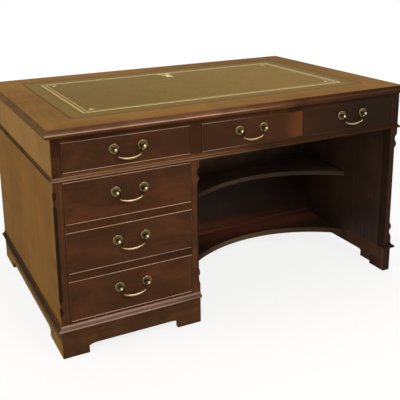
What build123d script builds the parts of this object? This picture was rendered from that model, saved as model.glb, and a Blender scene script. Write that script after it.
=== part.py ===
from build123d import *
import os

os.makedirs("parts", exist_ok=True)

# A single pedestal desk of mahogany: three drawers in a pedestal on the left, a slim end support
# on the right, two drawers in the frieze under a leathered top, and two shelves with hollowed
# fronts across the kneehole. Millimetres, +Z up, drawers facing -Y, +X to the sitter's right.
# The origin is on the floor under the middle of the top.

# Overall sizes
top_width = 1422
top_depth = 914
desk_height = 775
overhang = 22
back_overhang = 8
pedestal_width = 504
end_thickness = 32

# Heights of the three storeys
top_thickness = 27
frieze_height = 137
plinth_height = 97

# Boards, posts and rails
post_width = 30
divider_width = 39
rail_depth = 40
top_rail_height = 18
low_rail_height = 17
middle_rail_height = 23
bottom_rail_height = 27
side_thickness = 18
back_thickness = 12
partition_thickness = 18
pedestal_top_thickness = 9
pedestal_bottom_thickness = 15
plinth_thickness = 16

# What the drawers run on
runner_bearing = 15
guide_height = 20
stop_width = 40
stop_depth = 15
stop_height = 5
stop_inset = 60

# Drawers
drawer_names = ("lower", "middle", "upper")
drawer_gap = 1
slide_gap = 0.3
drawer_front_thickness = 22
drawer_side_thickness = 10
drawer_back_thickness = 8
drawer_bottom_thickness = 6
drawer_bottom_rise = 8
drawer_side_drop = 8
drawer_back_drop = 5
drawer_depth = 640
bead_width = 4
bead_depth = 8
bead_proud = 2.2
bead_mitre_clearance = 0.05

# Handles: two pierced balls on rosettes, with a bail swinging between them
post_spacing = 98
handle_rise = 14.5
frieze_handle_rise = 8
wide_handle_offset = 219.5
rosette_radius = 17
rosette_rim = 1.2
rosette_bead = 2.8
rosette_bead_width = 4
rosette_valley = 1.4
rosette_height = 4
neck_radius = 4
ball_radius = 7.5
pivot_out = 14
shank_radius = 3
shank_tail = 7
shank_clearance = 0.1
nut_radius = 7
nut_thickness = 4
bail_radius = 2.2
bail_swell_radius = 3.9
bail_gap = 0.3
bail_arm_inset = 3
bail_neck_radius = 2.8
bail_shoulder_drop = 26
bail_shoulder_radius = 7
bail_bar_reach = 30
bail_bar_drop = 29
pin_radius = 1.5
pin_reach = 1.5
pin_clearance = 0.08
pin_end_gap = 0.5

# Mouldings and chamfers
waist_moulding_height = 14
waist_moulding_projection = 8.5
waist_moulding_lap = 5
plinth_moulding_height = 22
plinth_moulding_projection = 12.5
moulding_fillet = 1.5
chamfer_leg = 10
chamfer_bump_leg = 2
chamfer_scoop = 36
chamfer_tongue = 20
chamfer_top_block = 31
chamfer_bottom_block = 51

# Cuts run this far past what they cut
overrun = 5

# Places worked out from the sizes
left = -top_width / 2 + overhang
right = top_width / 2 - overhang
front = -top_depth / 2 + overhang
back = top_depth / 2 - back_overhang
inner_back = back - back_thickness
frieze_top = desk_height - top_thickness
waist = frieze_top - frieze_height
knee_left = left + pedestal_width
knee_right = right - end_thickness
divider_left = knee_left - post_width
divider_right = divider_left + divider_width
partition_left = (divider_left + divider_right - partition_thickness) / 2
partition_right = partition_left + partition_thickness
frieze_low = waist + low_rail_height
frieze_high = frieze_top - top_rail_height
opening_bottom = plinth_height + bottom_rail_height
opening_top = waist - pedestal_top_thickness
drawer_pitch = (opening_top - opening_bottom + middle_rail_height) / len(drawer_names)
opening_left = left + post_width
opening_right = knee_left - post_width
rail_back = front + rail_depth
up = Vector(0, 0, 1)


def board(x, y, z):
    """Add a plain board that runs between the two values given for each direction."""
    with Locations((x[0], y[0], z[0])):
        Box(x[1] - x[0], y[1] - y[0], z[1] - z[0], align=Align.MIN)


def write(name, *pieces):
    """Label a sub-part and write it; boards that only touch stay boards of their own."""
    solids = [solid for piece in pieces for solid in piece.part.solids()]
    node = pieces[0].part if len(pieces) == 1 else Compound(solids)
    node.label = name
    export_step(node, f"parts/{name}.step")


def mitre(corner, inward, out):
    """Cut the piece at 45 degrees through a corner and keep what runs inward from it."""
    split(bisect_by=Plane(origin=corner, z_dir=inward + out))


# Top panel: a slab with the same moulded edge on its four sides, mitred at the corners. From the
# flat top a small step leads into a cove, then a bead that is the widest part, then the underside
edge_flat_inset = 14.5
edge_step_inset = 13
edge_step_drop = 3
edge_cove_inset = 5
edge_cove_drop = 12
edge_cove_sagitta = 2.5
edge_bead_height = 13
leather_border = 118
leather_corner = 10
leather_thickness = 1.5
leather_gap = 0.4


def top_section(width):
    """The section of the top across one direction, standing on the frieze."""
    edge = width / 2
    cove_bottom = top_thickness - edge_cove_drop
    with BuildSketch() as section:
        with BuildLine():
            flat = Line((0, top_thickness), (edge - edge_flat_inset, top_thickness))
            step = Line(flat @ 1, (edge - edge_step_inset, top_thickness - edge_step_drop))
            cove = SagittaArc(step @ 1, (edge - edge_cove_inset, cove_bottom), -edge_cove_sagitta)
            bead = ThreePointArc(
                cove @ 1,
                (edge, cove_bottom - edge_bead_height / 2),
                (edge - edge_cove_inset, cove_bottom - edge_bead_height),
            )
            Polyline(bead @ 1, (edge - edge_cove_inset, 0), (0, 0), flat @ 0)
        make_face()
        mirror(about=Plane.YZ)
    return section.sketch


with BuildPart() as top_panel:
    with BuildSketch(Plane(origin=(0, 0, frieze_top), x_dir=(1, 0, 0), z_dir=(0, -1, 0))):
        add(top_section(top_width))
    extrude(amount=top_depth / 2 + overrun, both=True)
    with BuildSketch(Plane(origin=(0, 0, frieze_top), x_dir=(0, 1, 0), z_dir=(1, 0, 0))):
        add(top_section(top_depth))
    extrude(amount=top_width / 2 + overrun, both=True, mode=Mode.INTERSECT)
    with BuildSketch(Plane.XY.offset(desk_height - leather_thickness)):
        RectangleRounded(top_width - 2 * leather_border, top_depth - 2 * leather_border, leather_corner)
    extrude(amount=leather_thickness + overrun, mode=Mode.SUBTRACT)
write("top_panel", top_panel)

leather_rim = leather_border + leather_gap
with BuildPart() as leather_inset:
    with BuildSketch(Plane.XY.offset(desk_height - leather_thickness)):
        RectangleRounded(
            top_width - 2 * leather_rim, top_depth - 2 * leather_rim, leather_corner - leather_gap
        )
    extrude(amount=leather_thickness)
write("leather_inset", leather_inset)

# Frieze: posts, two long rails and the divider make the face, with a board at each end, one at
# the back and a partition behind the divider
with BuildPart() as frieze_posts:
    board((left, opening_left), (front, rail_back), (waist, frieze_top))
    board((knee_right, right), (front, rail_back), (waist, frieze_top))
with BuildPart() as frieze_rails:
    board((opening_left, knee_right), (front, rail_back), (frieze_high, frieze_top))
    board((opening_left, knee_right), (front, rail_back), (waist, frieze_low))
with BuildPart() as frieze_divider:
    board((divider_left, divider_right), (front, rail_back), (frieze_low, frieze_high))
write("frieze_face_frame", frieze_posts, frieze_rails, frieze_divider)

with BuildPart() as frieze_ends:
    board((left, left + side_thickness), (rail_back, back), (waist, frieze_top))
    board((right - side_thickness, right), (rail_back, back), (waist, frieze_top))
write("frieze_ends", frieze_ends)

with BuildPart() as frieze_back:
    board((left + side_thickness, right - side_thickness), (inner_back, back), (waist, frieze_top))
write("frieze_back", frieze_back)

with BuildPart() as frieze_partition:
    board((partition_left, partition_right), (rail_back, inner_back), (waist, frieze_top))
write("frieze_partition", frieze_partition)

# Modesty panel across the kneehole, set back from the front, and what it stands on
panel_setback = 530
panel_thickness = 15
panel_front = front + panel_setback
panel_back = panel_front + panel_thickness


def strip(wall, edge, low, high):
    """A strip along a drawer's side, from the wall past the edge of the opening by its bearing."""
    bearing = edge + (runner_bearing if edge > wall else -runner_bearing)
    board(sorted((wall, bearing)), (rail_back, inner_back), (low, high))


# Runners under the frieze drawers, guides beside them, kickers above them, and the cross rail
# that the modesty panel is fixed to
frieze_walls = (
    (left + side_thickness, opening_left),
    (partition_left, divider_left),
    (partition_right, divider_right),
    (right - side_thickness, knee_right),
)
with BuildPart() as frieze_strips:
    for wall, edge in frieze_walls:
        strip(wall, edge, waist, frieze_low)
        strip(wall, edge, frieze_high, frieze_top)
with BuildPart() as frieze_guides:
    for wall, edge in frieze_walls:
        board(sorted((wall, edge)), (rail_back, inner_back), (frieze_low, frieze_low + guide_height))
with BuildPart() as frieze_cross_rail:
    board(
        (divider_right + runner_bearing, knee_right - runner_bearing),
        (panel_front, panel_back),
        (waist, frieze_low),
    )
write("frieze_runners", frieze_strips, frieze_guides, frieze_cross_rail)


def moulding_section(height, projection, tip_share):
    """Section of a moulding from its back face: round below, a fine bead, hollow above."""
    tip = height * tip_share
    with BuildSketch() as section:
        with BuildLine():
            bead = Line((projection, tip - moulding_fillet / 2), (projection, tip + moulding_fillet / 2))
            nose = TangentArc(bead @ 0, (projection / 2, 0), tangent=(0, -1))
            step = Line(bead @ 1, (projection - moulding_fillet, tip + moulding_fillet / 2))
            hollow = ThreePointArc(
                step @ 1, (projection / 3, tip + (height - tip) / 3), (moulding_fillet, height)
            )
            Polyline(hollow @ 1, (0, height), (0, 0), nose @ 1)
        make_face()
    return section.sketch


def moulding_runs(section, corners, bottom):
    """Straight runs of moulding along the given corners, with the desk on their right, mitred
    where they meet and square at both ends."""
    points = [Vector(x, y, bottom) for x, y in corners]
    reach = section.bounding_box().max.X
    runs = []
    for start, end in zip(points, points[1:]):
        along = (end - start).normalized()
        out = up.cross(along)
        first = start is points[0]
        last = end is points[-1]
        begin = start if first else start - along * reach
        finish = end if last else end + along * reach
        with BuildPart() as run:
            with BuildSketch(Plane(origin=begin, x_dir=out, z_dir=along)):
                add(section)
            extrude(amount=(finish - begin).length)
            if not first:
                mitre(start, along, out)
            if not last:
                mitre(end, -along, out)
        runs.append(run)
    return runs


# Waist moulding: hides the joint between frieze and pedestal, round the front and both ends
waist_tip_share = 0.5
waist_section = moulding_section(waist_moulding_height, waist_moulding_projection, waist_tip_share)
waist_corners = ((right, back), (right, front), (left, front), (left, back))
write("waist_moulding", *moulding_runs(waist_section, waist_corners, waist - waist_moulding_lap))


def stopped_chamfer(corner_x, corner_y, side):
    """What is cut off a post's front corner between its square top and bottom blocks, in the
    upright plane through the corner. At each end a scoop and a round tongue stop the chamfer."""
    corner = Vector(corner_x, corner_y, 0)
    diagonal = Vector(side, -1, 0).normalized()
    half_root = 0.5**0.5
    full = -chamfer_leg * half_root
    bump = -chamfer_bump_leg * half_root
    high = waist - chamfer_top_block
    low = plinth_height + chamfer_bottom_block
    bulge_share = 0.7
    tongue_mid = bump + (full - bump) * (1 - bulge_share)
    with BuildSketch(Plane(origin=corner, x_dir=diagonal, z_dir=diagonal.cross(up))) as cut:
        with BuildLine():
            outside = Polyline((0, high), (overrun, high), (overrun, low), (0, low))
            low_scoop = ThreePointArc(
                outside @ 1, (full, low + chamfer_scoop / 2), (bump, low + chamfer_scoop)
            )
            low_tongue = ThreePointArc(
                low_scoop @ 1,
                (tongue_mid, low + chamfer_scoop + chamfer_tongue * bulge_share),
                (full, low + chamfer_scoop + chamfer_tongue),
            )
            flat = Line(low_tongue @ 1, (full, high - chamfer_scoop - chamfer_tongue))
            high_tongue = ThreePointArc(
                flat @ 1,
                (tongue_mid, high - chamfer_scoop - chamfer_tongue * bulge_share),
                (bump, high - chamfer_scoop),
            )
            ThreePointArc(high_tongue @ 1, (full, high - chamfer_scoop / 2), outside @ 0)
        make_face()
    return cut.sketch


# Pedestal: posts at the front corners, rails between the drawers, sides, back, top and bottom
with BuildPart() as pedestal_post_left:
    board((left, opening_left), (front, rail_back), (plinth_height, waist))
    extrude(stopped_chamfer(left, front, -1), amount=chamfer_leg, both=True, mode=Mode.SUBTRACT)
with BuildPart() as pedestal_post_right:
    board((opening_right, knee_left), (front, rail_back), (plinth_height, waist))
    extrude(stopped_chamfer(knee_left, front, 1), amount=chamfer_leg, both=True, mode=Mode.SUBTRACT)
write("pedestal_posts", pedestal_post_left, pedestal_post_right)

rail_tops = [opening_bottom + drawer_pitch * level for level in range(len(drawer_names))]
with BuildPart() as pedestal_rails:
    board((opening_left, opening_right), (front, rail_back), (plinth_height, opening_bottom))
    board((opening_left, opening_right), (front, rail_back), (opening_top, waist))
    for rail_top in rail_tops[1:]:
        board((opening_left, opening_right), (front, rail_back), (rail_top - middle_rail_height, rail_top))
write("pedestal_rails", pedestal_rails)

wall_left = left + side_thickness
wall_right = knee_left - side_thickness
with BuildPart() as pedestal_sides:
    board((left, wall_left), (rail_back, back), (plinth_height, waist))
    board((wall_right, knee_left), (rail_back, back), (plinth_height, waist))
write("pedestal_sides", pedestal_sides)

with BuildPart() as pedestal_back:
    board((wall_left, wall_right), (inner_back, back), (plinth_height, waist))
write("pedestal_back", pedestal_back)

bottom_board_top = plinth_height + pedestal_bottom_thickness
with BuildPart() as pedestal_boards:
    board((wall_left, wall_right), (rail_back, inner_back), (opening_top, waist))
    board((wall_left, wall_right), (rail_back, inner_back), (plinth_height, bottom_board_top))
write("pedestal_boards", pedestal_boards)

with BuildPart() as pedestal_strips:
    for rail_top in rail_tops:
        runner_bottom = bottom_board_top if rail_top == opening_bottom else rail_top - middle_rail_height
        strip(wall_left, opening_left, runner_bottom, rail_top)
        strip(wall_right, opening_right, runner_bottom, rail_top)
with BuildPart() as pedestal_guides:
    for rail_top in rail_tops:
        for wall, edge in ((wall_left, opening_left), (wall_right, opening_right)):
            board(sorted((wall, edge)), (rail_back, inner_back), (rail_top, rail_top + guide_height))
write("pedestal_runners", pedestal_strips, pedestal_guides)

# End support: a post with the same chamfer and the panel behind it
with BuildPart() as end_post:
    board((knee_right, right), (front, rail_back), (plinth_height, waist))
    extrude(stopped_chamfer(right, front, 1), amount=chamfer_leg, both=True, mode=Mode.SUBTRACT)
write("end_post", end_post)

with BuildPart() as end_panel:
    board((knee_right, right), (rail_back, back), (plinth_height, waist))
write("end_panel", end_panel)

# Plinth boards, flush with the faces above, cut away between bracket feet under an apron that
# drops a little beside each foot
apron_height = 31
apron_shoulder = 25
apron_run = 25
front_foot_width = 90
side_front_foot_width = 158
side_back_foot_width = 136


def plinth_board(start, end, foot_at_start, foot_at_end):
    """One plinth board seen from outside, from its left end to its right, mitred at both."""
    start = Vector(*start, 0)
    end = Vector(*end, 0)
    along = (end - start).normalized()
    out = along.cross(up)
    length = (end - start).length
    far_foot = length - foot_at_end
    with BuildPart() as piece:
        with BuildSketch(Plane(origin=start, x_dir=along, z_dir=out)):
            Rectangle(length, plinth_height, align=Align.MIN)
            with BuildLine():
                apron = Line((foot_at_start + apron_run, apron_height), (far_foot - apron_run, apron_height))
                TangentArc(apron @ 0, (foot_at_start, apron_shoulder), tangent=(-1, 0))
                TangentArc(apron @ 1, (far_foot, apron_shoulder), tangent=(1, 0))
                Polyline(
                    (foot_at_start, apron_shoulder),
                    (foot_at_start, -overrun),
                    (far_foot, -overrun),
                    (far_foot, apron_shoulder),
                )
            make_face(mode=Mode.SUBTRACT)
        extrude(amount=-plinth_thickness)
        mitre(start, along, out)
        mitre(end, -along, out)
    return piece


plinth_front = plinth_board((left, front), (knee_left, front), front_foot_width, front_foot_width)
write("pedestal_plinth_front", plinth_front)
plinth_back = plinth_board((knee_left, back), (left, back), front_foot_width, front_foot_width)
write("pedestal_plinth_back", plinth_back)
plinth_left = plinth_board((left, back), (left, front), side_back_foot_width, side_front_foot_width)
plinth_knee = plinth_board(
    (knee_left, front), (knee_left, back), side_front_foot_width, side_back_foot_width
)
write("pedestal_plinth_sides", plinth_left, plinth_knee)

# Plinth of the end support: a board on its outer side, a short one across each end, a lining
# inside and the blocks in the feet
lining_right = right - plinth_thickness
plinth_inner_front = front + plinth_thickness
plinth_inner_back = back - plinth_thickness
lining_bottom = 40
end_side = plinth_board((right, front), (right, back), side_front_foot_width, side_back_foot_width)
with BuildPart() as end_front:
    board((knee_right, right), (front, plinth_inner_front), (0, plinth_height))
    mitre(Vector(right, front, 0), Vector(-1, 0, 0), Vector(0, -1, 0))
with BuildPart() as end_back:
    board((knee_right, right), (plinth_inner_back, back), (0, plinth_height))
    mitre(Vector(right, back, 0), Vector(-1, 0, 0), Vector(0, 1, 0))
write("end_plinth", end_side, end_front, end_back)

with BuildPart() as end_lining:
    board(
        (knee_right, lining_right), (plinth_inner_front, plinth_inner_back), (lining_bottom, plinth_height)
    )
write("end_lining", end_lining)

block_width = 58
block_depth = 66
block_height = 60
block_fronts = (plinth_inner_front, plinth_inner_front + block_depth)
block_backs = (plinth_inner_back - block_depth, plinth_inner_back)
block_lefts = (left + plinth_thickness, left + plinth_thickness + block_width)
block_rights = (knee_left - plinth_thickness - block_width, knee_left - plinth_thickness)
with BuildPart() as foot_blocks:
    for depths in (block_fronts, block_backs):
        board(block_lefts, depths, (0, block_height))
        board(block_rights, depths, (0, block_height))
        board((knee_right, lining_right), depths, (0, lining_bottom))
write("foot_blocks", foot_blocks)

# Plinth moulding: on the front and the outer side of the pedestal and of the end support
plinth_tip_share = 0.45
plinth_section = moulding_section(plinth_moulding_height, plinth_moulding_projection, plinth_tip_share)
pedestal_corners = ((knee_left, front), (left, front), (left, back))
end_corners = ((right, back), (right, front), (knee_right, front))
write(
    "plinth_mouldings",
    *moulding_runs(plinth_section, pedestal_corners, plinth_height),
    *moulding_runs(plinth_section, end_corners, plinth_height),
)

# Shelves across the kneehole with hollowed fronts. The hollow is one arc, deepest right of the
# middle, and both shelves share it
lower_shelf_bottom = 62
lower_shelf_thickness = 22
upper_shelf_bottom = 331
upper_shelf_thickness = 18
shelf_left_setback = 168
shelf_deep_setback = 414
shelf_right_setback = 270
shelf_deep_share = 0.556
base_strip_depth = 26
base_strip_height = 12
base_strip_round = 8
lower_shelf_top = lower_shelf_bottom + lower_shelf_thickness


def shelf(bottom, thickness, rear):
    """A shelf between pedestal and end support, from its hollowed front to the given rear."""
    deepest = knee_left + (knee_right - knee_left) * shelf_deep_share
    with BuildPart() as piece:
        with BuildSketch(Plane.XY.offset(bottom)):
            with BuildLine():
                hollow = ThreePointArc(
                    (knee_left, front + shelf_left_setback),
                    (deepest, front + shelf_deep_setback),
                    (knee_right, front + shelf_right_setback),
                )
                Polyline(hollow @ 1, (knee_right, rear), (knee_left, rear), hollow @ 0)
            make_face()
        extrude(amount=thickness)
    return piece


write("lower_shelf", shelf(lower_shelf_bottom, lower_shelf_thickness, panel_back))
write("upper_shelf", shelf(upper_shelf_bottom, upper_shelf_thickness, panel_front))

with BuildPart() as kneehole_panel:
    board((knee_left, knee_right), (panel_front, panel_back), (lower_shelf_top, waist))
write("kneehole_panel", kneehole_panel)

with BuildPart() as base_strip:
    board(
        (knee_left, knee_right),
        (panel_front - base_strip_depth, panel_front),
        (lower_shelf_top, lower_shelf_top + base_strip_height),
    )
    fillet(base_strip.edges().filter_by(Axis.X).group_by(Axis.Y)[0].sort_by(Axis.Z)[-1], base_strip_round)
write("base_strip", base_strip)

# Stops: two small blocks behind each drawer front, on the rail under it
pedestal_openings = [
    (name, opening_left, opening_right, rail_top, rail_top + drawer_pitch - middle_rail_height)
    for name, rail_top in zip(drawer_names, rail_tops)
]
frieze_openings = [
    ("frieze", opening_left, divider_left, frieze_low, frieze_high),
    ("wide", divider_right, knee_right, frieze_low, frieze_high),
]
stop_front = front + drawer_front_thickness + slide_gap
with BuildPart() as drawer_stops:
    for name, x0, x1, z0, z1 in pedestal_openings + frieze_openings:
        for stop_left in (x0 + stop_inset, x1 - stop_inset - stop_width):
            board(
                (stop_left, stop_left + stop_width),
                (stop_front, stop_front + stop_depth),
                (z0, z0 + stop_height),
            )
write("drawer_stops", drawer_stops)


def bead_strip(start, end):
    """One strip of cockbead round a drawer front, rounded on its nose and mitred at both ends."""
    along = (end - start).normalized()
    out = along.cross(Vector(0, 1, 0))
    nose = bead_width / 2
    shoulder = nose - bead_proud
    with BuildPart() as piece:
        with BuildSketch(Plane(origin=start, x_dir=-out, z_dir=along)):
            with BuildLine():
                tip = ThreePointArc((0, shoulder), (nose, -bead_proud), (bead_width, shoulder))
                Polyline(tip @ 1, (bead_width, bead_depth), (0, bead_depth), tip @ 0)
            make_face()
        extrude(amount=(end - start).length)
        mitre(start + along * bead_mitre_clearance, along, out)
        mitre(end - along * bead_mitre_clearance, -along, out)
    return piece


def handle_post(x, z, side):
    """One post of a handle: shank, rosette, neck and a ball pierced for the bail's pin from the
    handle's inner side."""
    waist_of_ball = (ball_radius**2 - neck_radius**2) ** 0.5
    valley_radius = rosette_radius - rosette_bead_width
    with BuildPart() as piece:
        with BuildSketch(Plane(origin=(x, front, z))):
            with BuildLine():
                shank = Polyline(
                    (0, drawer_front_thickness + shank_tail),
                    (shank_radius, drawer_front_thickness + shank_tail),
                    (shank_radius, 0),
                    (rosette_radius, 0),
                    (rosette_radius, -rosette_rim),
                )
                rim = ThreePointArc(
                    shank @ 1,
                    (rosette_radius - rosette_bead_width / 2, -rosette_bead),
                    (valley_radius, -rosette_valley),
                )
                hollow = ThreePointArc(
                    rim @ 1,
                    ((valley_radius + neck_radius) / 2, -(rosette_valley * 2 + rosette_height) / 3),
                    (neck_radius, -rosette_height),
                )
                neck = Line(hollow @ 1, (neck_radius, waist_of_ball - pivot_out))
                ball = ThreePointArc(
                    neck @ 1, (ball_radius, -pivot_out), (0, -pivot_out - ball_radius)
                )
                Line(ball @ 1, shank @ 0)
            make_face()
        revolve(axis=Axis((x, front, z), (0, 1, 0)))
        mouth = x - side * (ball_radius + overrun)
        with BuildSketch(Plane(origin=(mouth, front - pivot_out, z), z_dir=(side, 0, 0))):
            Circle(pin_radius + pin_clearance)
        extrude(amount=ball_radius + overrun + pin_reach + pin_end_gap, mode=Mode.SUBTRACT)
    return piece


def handle_nut(x, z):
    """The nut that holds a post, on the inside of the drawer front."""
    with BuildPart() as piece:
        with BuildSketch(Plane(origin=(x, front + drawer_front_thickness, z), z_dir=(0, 1, 0))):
            RegularPolygon(nut_radius, 6)
            Circle(shank_radius + shank_clearance, mode=Mode.SUBTRACT)
        extrude(amount=nut_thickness)
    return piece


def bail(x, z):
    """A bail hanging from its two pins: a thin rod turns down beside each post, and the bar
    between the rods swells towards its middle."""
    neck = post_spacing / 2 - ball_radius - bail_gap
    arm = neck - bail_arm_inset
    face = Plane(origin=(x, front - pivot_out, z), x_dir=(1, 0, 0), z_dir=(0, -1, 0))
    with BuildLine(face) as route:
        rod = FilletPolyline(
            (-neck, 0),
            (-arm, 0),
            (-arm, -bail_shoulder_drop),
            (-bail_bar_reach, -bail_bar_drop),
            radius=(bail_neck_radius, bail_shoulder_radius),
        )
    rod = route.wires()[0]
    with BuildLine() as bow:
        TangentArc(rod @ 1, rod @ 1 + Vector(2 * bail_bar_reach, 0, 0), tangent=rod % 1)
    bar = bow.wires()[0]
    with BuildPart() as piece:
        with BuildSketch(Plane(origin=rod @ 0, z_dir=rod % 0)):
            Circle(bail_radius)
        sweep(path=rod)
        mirror(about=Plane.YZ.offset(x))
        for share, radius in ((0, bail_radius), (0.5, bail_swell_radius), (1, bail_radius)):
            with BuildSketch(Plane(origin=bar @ share, z_dir=bar % share)):
                Circle(radius)
        sweep(path=bar, multisection=True)
        for side in (-1, 1):
            root = x + side * (neck - bail_gap)
            with BuildSketch(Plane(origin=(root, front - pivot_out, z), z_dir=(side, 0, 0))):
                Circle(pin_radius)
            extrude(amount=bail_gap * 2 + ball_radius + pin_reach)
    return piece


def drawer(name, x0, x1, z0, z1, rise, handles):
    """A drawer in the given opening: front with its cockbead, box, bottom, and handles whose
    places are given from the middle of the front."""
    width = x1 - x0 - 2 * drawer_gap
    height = z1 - z0 - 2 * drawer_gap
    middle = ((x0 + x1) / 2, (z0 + z1) / 2)
    handle_height = middle[1] + rise
    inside = front + drawer_front_thickness
    rear = front + drawer_depth
    face = Plane.XZ.offset(-front)

    with BuildPart() as drawer_front:
        board(
            (middle[0] - width / 2, middle[0] + width / 2),
            (front, inside),
            (middle[1] - height / 2, middle[1] + height / 2),
        )
        with BuildSketch(face):
            with Locations(middle):
                Rectangle(width, height)
                Rectangle(width - 2 * bead_width, height - 2 * bead_width, mode=Mode.SUBTRACT)
        extrude(amount=-bead_depth, mode=Mode.SUBTRACT)
        with BuildSketch(face):
            for place in handles:
                with Locations((middle[0] + place, handle_height)):
                    with GridLocations(post_spacing, 0, 2, 1):
                        Circle(shank_radius + shank_clearance)
        extrude(amount=-drawer_front_thickness - overrun, mode=Mode.SUBTRACT)
    write(f"{name}_drawer_front", drawer_front)

    corners = [
        Vector(middle[0] + across * width / 2, front, middle[1] + along * height / 2)
        for across, along in ((-1, 1), (1, 1), (1, -1), (-1, -1))
    ]
    strips = [bead_strip(corners[turn - 1], corners[turn]) for turn in range(len(corners))]
    write(f"{name}_drawer_cockbead", *strips)

    side_bottom = z0 + slide_gap
    side_top = z1 - drawer_side_drop
    box_left = x0 + drawer_gap + drawer_side_thickness
    box_right = x1 - drawer_gap - drawer_side_thickness
    bottom_low = side_bottom + drawer_bottom_rise
    bottom_high = bottom_low + drawer_bottom_thickness
    with BuildPart() as drawer_sides:
        board((x0 + drawer_gap, box_left), (inside, rear), (side_bottom, side_top))
        board((box_right, x1 - drawer_gap), (inside, rear), (side_bottom, side_top))
    with BuildPart() as drawer_back:
        board(
            (box_left, box_right),
            (rear - drawer_back_thickness, rear),
            (bottom_high, side_top - drawer_back_drop),
        )
    write(f"{name}_drawer_box", drawer_sides, drawer_back)

    with BuildPart() as drawer_bottom:
        board((box_left, box_right), (inside, rear), (bottom_low, bottom_high))
    write(f"{name}_drawer_bottom", drawer_bottom)

    for number, place in enumerate(handles):
        handle = name if len(handles) == 1 else f"{name}_{('left', 'right')[number]}"
        x = middle[0] + place
        hardware = []
        for side in (-1, 1):
            hardware.append(handle_post(x + side * post_spacing / 2, handle_height, side))
            hardware.append(handle_nut(x + side * post_spacing / 2, handle_height))
        write(f"{handle}_handle_posts", *hardware)
        write(f"{handle}_handle_bail", bail(x, handle_height))


# Drawers: three in the pedestal, one above them in the frieze, and the wide one over the kneehole
for name, x0, x1, z0, z1 in pedestal_openings:
    drawer(name, x0, x1, z0, z1, handle_rise, (0,))
frieze_handles = ((0,), (-wide_handle_offset, wide_handle_offset))
for (name, x0, x1, z0, z1), handles in zip(frieze_openings, frieze_handles):
    drawer(name, x0, x1, z0, z1, frieze_handle_rise, handles)
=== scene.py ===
"""A single pedestal desk in mahogany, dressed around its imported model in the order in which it
is put together: carcass, plinth, kneehole, frieze, top, leather, linings, drawers, handles."""

import math

import bmesh
import bpy
from mathutils import Matrix, Vector


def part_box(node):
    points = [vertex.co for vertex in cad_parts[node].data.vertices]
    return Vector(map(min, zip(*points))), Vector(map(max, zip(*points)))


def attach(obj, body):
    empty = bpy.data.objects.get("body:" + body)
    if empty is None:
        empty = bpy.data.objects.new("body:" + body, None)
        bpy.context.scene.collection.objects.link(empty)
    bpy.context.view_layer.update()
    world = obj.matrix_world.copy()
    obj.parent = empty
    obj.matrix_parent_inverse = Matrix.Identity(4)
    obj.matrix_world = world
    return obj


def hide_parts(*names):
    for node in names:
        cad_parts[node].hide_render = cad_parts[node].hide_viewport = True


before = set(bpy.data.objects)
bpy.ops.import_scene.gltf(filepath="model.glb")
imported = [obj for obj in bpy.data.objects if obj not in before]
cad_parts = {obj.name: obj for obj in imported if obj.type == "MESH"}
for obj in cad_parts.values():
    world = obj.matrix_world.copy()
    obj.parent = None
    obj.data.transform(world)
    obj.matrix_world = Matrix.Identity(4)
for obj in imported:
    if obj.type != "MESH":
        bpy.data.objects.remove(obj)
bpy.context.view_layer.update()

# The studio: a plain pale floor that keeps a soft shadow, a white sky, and three soft warm
# lamps: two large ones, to the left of the desk and over its top, and a long narrow one high in
# front of it.


class Wire:
    """A value, colour or vector in a material. Arithmetic on values adds their Math nodes."""

    def __init__(self, tree, socket=None):
        self.tree = tree
        self.socket = socket

    def node(self, kind, settings=None, sockets=None, out=0):
        """Adds a node: its settings first, then the values or links of its sockets."""
        made = self.tree.nodes.new(kind)
        for setting, value in (settings or {}).items():
            setattr(made, setting, value)
        for socket, value in (sockets or {}).items():
            if isinstance(value, Wire):
                self.tree.links.new(value.socket, made.inputs[socket])
            else:
                made.inputs[socket].default_value = value
        return Wire(self.tree, made.outputs[out]) if len(made.outputs) else None

    def math(self, operation, *values):
        return self.node("ShaderNodeMath", {"operation": operation}, dict(enumerate(values)))

    def __add__(self, other):
        return self.math("ADD", self, other)

    __radd__ = __add__

    def __sub__(self, other):
        return self.math("SUBTRACT", self, other)

    def __rsub__(self, other):
        return self.math("SUBTRACT", other, self)

    def __mul__(self, other):
        return self.math("MULTIPLY", self, other)

    __rmul__ = __mul__

    def __abs__(self):
        return self.math("ABSOLUTE", self)

    def above(self, limit):
        return self.math("GREATER_THAN", self, limit)

    def below(self, limit):
        return self.math("LESS_THAN", self, limit)

    def larger(self, other):
        return self.math("MAXIMUM", self, other)

    def smaller(self, other):
        return self.math("MINIMUM", self, other)

    def ramp(self, low, high):
        """0 at low, 1 at high, and smooth between them."""
        settings = {"interpolation_type": "SMOOTHSTEP"}
        return self.node("ShaderNodeMapRange", settings, {0: self, 1: low, 2: high})

    def mix(self, first, second):
        """The first colour where this value is 0, the second where it is 1."""
        settings = {"data_type": "RGBA", "clamp_factor": True}
        return self.node("ShaderNodeMix", settings, {0: self, 6: first, 7: second}, 2)

    def choose(self, first, second):
        """The first place where this value is 0, the second where it is 1."""
        settings = {"data_type": "VECTOR"}
        return self.node("ShaderNodeMix", settings, {0: self, 4: first, 5: second}, 1)

    def split(self):
        return [self.node("ShaderNodeSeparateXYZ", None, {0: self}, axis) for axis in range(3)]


def colour(red, green, blue):
    """A colour as a screen shows it, 0 to 255, as the shader reads it."""
    linear = [((part / 255 + 0.055) / 1.055) ** 2.4 for part in (red, green, blue)]
    return (*linear, 1)


bpy.context.scene.view_settings.view_transform = "Standard"
WHITE = (1, 1, 1, 1)
PAPER = colour(240, 240, 238)
sky_light = 0.42
floor_reach = 40
floor_shadow = 0.16
shadow_reach = (1.3, 3.2)


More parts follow.
